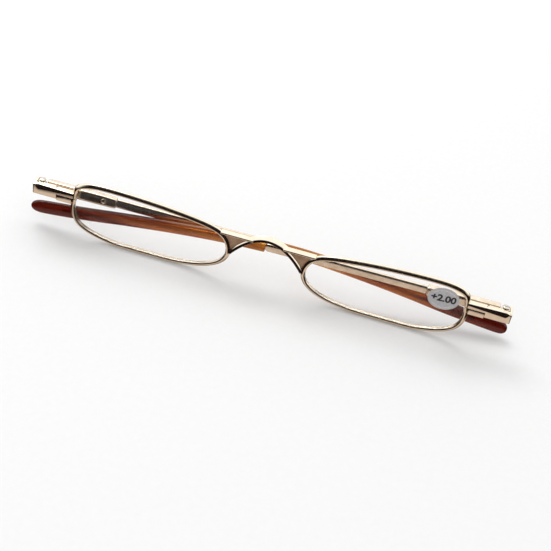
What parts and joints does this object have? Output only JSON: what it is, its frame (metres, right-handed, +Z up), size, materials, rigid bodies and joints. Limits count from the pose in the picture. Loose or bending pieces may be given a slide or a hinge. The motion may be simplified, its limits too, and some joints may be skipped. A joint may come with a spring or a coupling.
{
  "type": "folding reading glasses",
  "caption": "Slim full-rim metal reading glasses with arched bridge, sprung hinges and translucent temple tips, folded and standing on the rims' lower edges.",
  "frame": {"origin": "bottom centre of the folded glasses' bounding box, on the surface that the rims stand on", "axes": "+X towards the wearer's left along the front, +Y backwards from the front towards the wearer, +Z up"},
  "size_m": [0.1386, 0.0089, 0.0194],
  "materials": {
    "rim_metal": "polished pale gold plating",
    "bridge_metal": "polished pale gold plating",
    "end_piece_metal": "polished pale gold plating",
    "hinge_leaf_metal": "polished pale gold plating",
    "temple_metal": "polished pale gold plating",
    "screw_steel": "small bright screws",
    "spring_steel": "sprung steel",
    "lens_clear": "clear polished lens",
    "tip_amber": "translucent amber-brown, polished",
    "label_film": "grey film with dark print"
  },
  "bodies": {
    "front": {"bridge": "bridge_metal", "strength_label": "label_film", "left_rim": "rim_metal", "left_lens": "lens_clear", "left_end_piece": "end_piece_metal", "left_closing_block": "end_piece_metal", "left_rim_screw": "screw_steel", "left_hinge_leaf": "hinge_leaf_metal", "left_hinge_screw": "screw_steel", "right_rim": "rim_metal", "right_lens": "lens_clear", "right_end_piece": "end_piece_metal", "right_closing_block": "end_piece_metal", "right_rim_screw": "screw_steel", "right_hinge_leaf": "hinge_leaf_metal", "right_hinge_screw": "screw_steel"},
    "left_hinge": {"left_hinge_tongue": "spring_steel"},
    "left_temple": {"left_spring_box": "temple_metal", "left_stop_bush": "spring_steel", "left_hinge_spring": "spring_steel", "left_temple_rivet": "temple_metal", "left_temple_bar": "temple_metal", "left_temple_tip": "tip_amber"},
    "right_hinge": {"right_hinge_tongue": "spring_steel"},
    "right_temple": {"right_spring_box": "temple_metal", "right_stop_bush": "spring_steel", "right_hinge_spring": "spring_steel", "right_temple_rivet": "temple_metal", "right_temple_bar": "temple_metal", "right_temple_tip": "tip_amber"}
  },
  "joints": [
    {"name": "left_temple_fold", "type": "hinge", "parent": "front", "child": "left_hinge", "pos_m": [0.0661, -0.00125, 0.01302], "axis": [0, 0, -1], "range_deg": [0, 98]},
    {"name": "left_spring_travel", "type": "slide", "parent": "left_hinge", "child": "left_temple", "axis": [-1, -0.0044, -0.007], "range_m": [0, 0.001], "stiffness_N_per_m": 1500, "deforming": ["left_hinge_spring"]},
    {"name": "right_temple_fold", "type": "hinge", "parent": "front", "child": "right_hinge", "pos_m": [-0.0661, -0.00125, 0.01302], "axis": [0, 0, 1], "range_deg": [0, 96]},
    {"name": "right_spring_travel", "type": "slide", "parent": "right_hinge", "child": "right_temple", "axis": [0.9992, 0.0331, -0.0201], "range_m": [0, 0.001], "stiffness_N_per_m": 1500, "deforming": ["right_hinge_spring"]}
  ]
}
